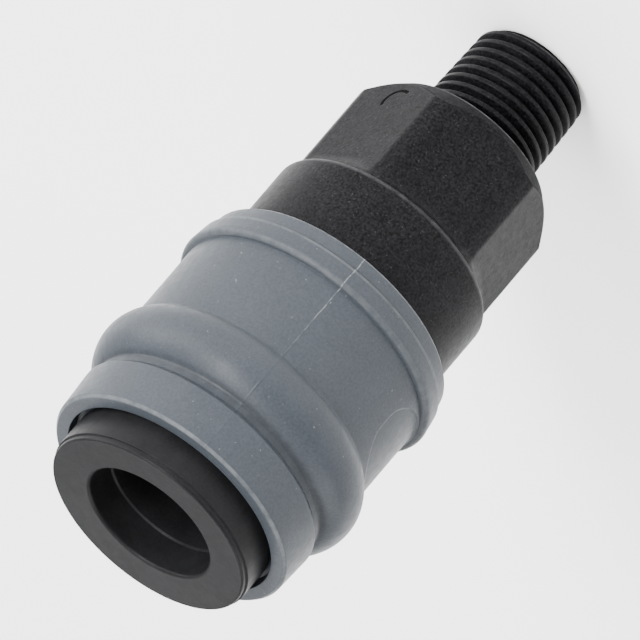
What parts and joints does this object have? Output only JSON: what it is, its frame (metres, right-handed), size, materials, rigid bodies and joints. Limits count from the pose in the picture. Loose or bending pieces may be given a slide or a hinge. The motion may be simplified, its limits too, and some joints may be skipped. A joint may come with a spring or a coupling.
{
  "type": "pneumatic quick coupling socket",
  "caption": "Plastic air hose quick coupling socket: nose with lock balls and valve, spring-loaded release sleeve, hexagon body with tapered pipe thread.",
  "frame": {"origin": "centre of the thread's end face, on the coupling's axis", "axes": "+Z along the axis, from the pipe thread to the nose; the oval panel of the sleeve faces -X"},
  "size_m": [0.0324, 0.0324, 0.0687],
  "materials": {
    "body_nylon": "moulded glass-filled nylon, black, fine speckle",
    "nose_nylon": "moulded nylon, black, satin",
    "sleeve_plastic": "moulded plastic, blue-grey, fine satin grain",
    "inner_acetal": "moulded acetal, black",
    "rubber_black": "moulded nitrile rubber, black",
    "spring_steel": "drawn stainless wire",
    "ball_steel": "ground steel ball"
  },
  "bodies": {
    "coupling_body": {"threaded_body": "body_nylon", "nose_body": "nose_nylon", "plug_packing": "rubber_black", "seat_ring": "inner_acetal", "snap_ring": "spring_steel", "seat_o_ring": "rubber_black", "barrel_o_ring": "rubber_black", "valve_guide": "inner_acetal", "sleeve_spring": "spring_steel", "valve_spring": "spring_steel"},
    "release_sleeve": {"release_sleeve": "sleeve_plastic"},
    "valve": {"valve_poppet": "inner_acetal", "valve_seal": "rubber_black"},
    "lock_ball_1": {"lock_ball_1": "ball_steel"},
    "lock_ball_2": {"lock_ball_2": "ball_steel"},
    "lock_ball_3": {"lock_ball_3": "ball_steel"},
    "lock_ball_4": {"lock_ball_4": "ball_steel"},
    "lock_ball_5": {"lock_ball_5": "ball_steel"},
    "lock_ball_6": {"lock_ball_6": "ball_steel"},
    "lock_ball_7": {"lock_ball_7": "ball_steel"},
    "lock_ball_8": {"lock_ball_8": "ball_steel"}
  },
  "joints": [
    {"name": "sleeve_slide", "type": "slide", "parent": "coupling_body", "child": "release_sleeve", "axis": [0, 0, -1], "range_m": [0, 0.0045], "stiffness_N_per_m": 1000, "springref_m": -0.006, "deforming": ["sleeve_spring"]},
    {"name": "valve_slide", "type": "slide", "parent": "coupling_body", "child": "valve", "axis": [0, 0, -1], "range_m": [0, 0.005], "stiffness_N_per_m": 500, "springref_m": -0.005, "deforming": ["valve_spring"]},
    {"name": "lock_ball_1_slide", "type": "slide", "parent": "coupling_body", "child": "lock_ball_1", "axis": [1, 0, 0], "range_m": [0, 0.0009]},
    {"name": "lock_ball_2_slide", "type": "slide", "parent": "coupling_body", "child": "lock_ball_2", "axis": [0.7071, 0.7071, 0], "range_m": [0, 0.0009]},
    {"name": "lock_ball_3_slide", "type": "slide", "parent": "coupling_body", "child": "lock_ball_3", "axis": [0, 1, 0], "range_m": [0, 0.0009]},
    {"name": "lock_ball_4_slide", "type": "slide", "parent": "coupling_body", "child": "lock_ball_4", "axis": [-0.7071, 0.7071, 0], "range_m": [0, 0.0009]},
    {"name": "lock_ball_5_slide", "type": "slide", "parent": "coupling_body", "child": "lock_ball_5", "axis": [-1, 0, 0], "range_m": [0, 0.0009]},
    {"name": "lock_ball_6_slide", "type": "slide", "parent": "coupling_body", "child": "lock_ball_6", "axis": [-0.7071, -0.7071, 0], "range_m": [0, 0.0009]},
    {"name": "lock_ball_7_slide", "type": "slide", "parent": "coupling_body", "child": "lock_ball_7", "axis": [0, -1, 0], "range_m": [0, 0.0009]},
    {"name": "lock_ball_8_slide", "type": "slide", "parent": "coupling_body", "child": "lock_ball_8", "axis": [0.7071, -0.7071, 0], "range_m": [0, 0.0009]}
  ],
  "couplings": [
    {"joint": "lock_ball_1_slide", "follows": "sleeve_slide", "ratio": 0.2},
    {"joint": "lock_ball_2_slide", "follows": "sleeve_slide", "ratio": 0.2},
    {"joint": "lock_ball_3_slide", "follows": "sleeve_slide", "ratio": 0.2},
    {"joint": "lock_ball_4_slide", "follows": "sleeve_slide", "ratio": 0.2},
    {"joint": "lock_ball_5_slide", "follows": "sleeve_slide", "ratio": 0.2},
    {"joint": "lock_ball_6_slide", "follows": "sleeve_slide", "ratio": 0.2},
    {"joint": "lock_ball_7_slide", "follows": "sleeve_slide", "ratio": 0.2},
    {"joint": "lock_ball_8_slide", "follows": "sleeve_slide", "ratio": 0.2}
  ]
}
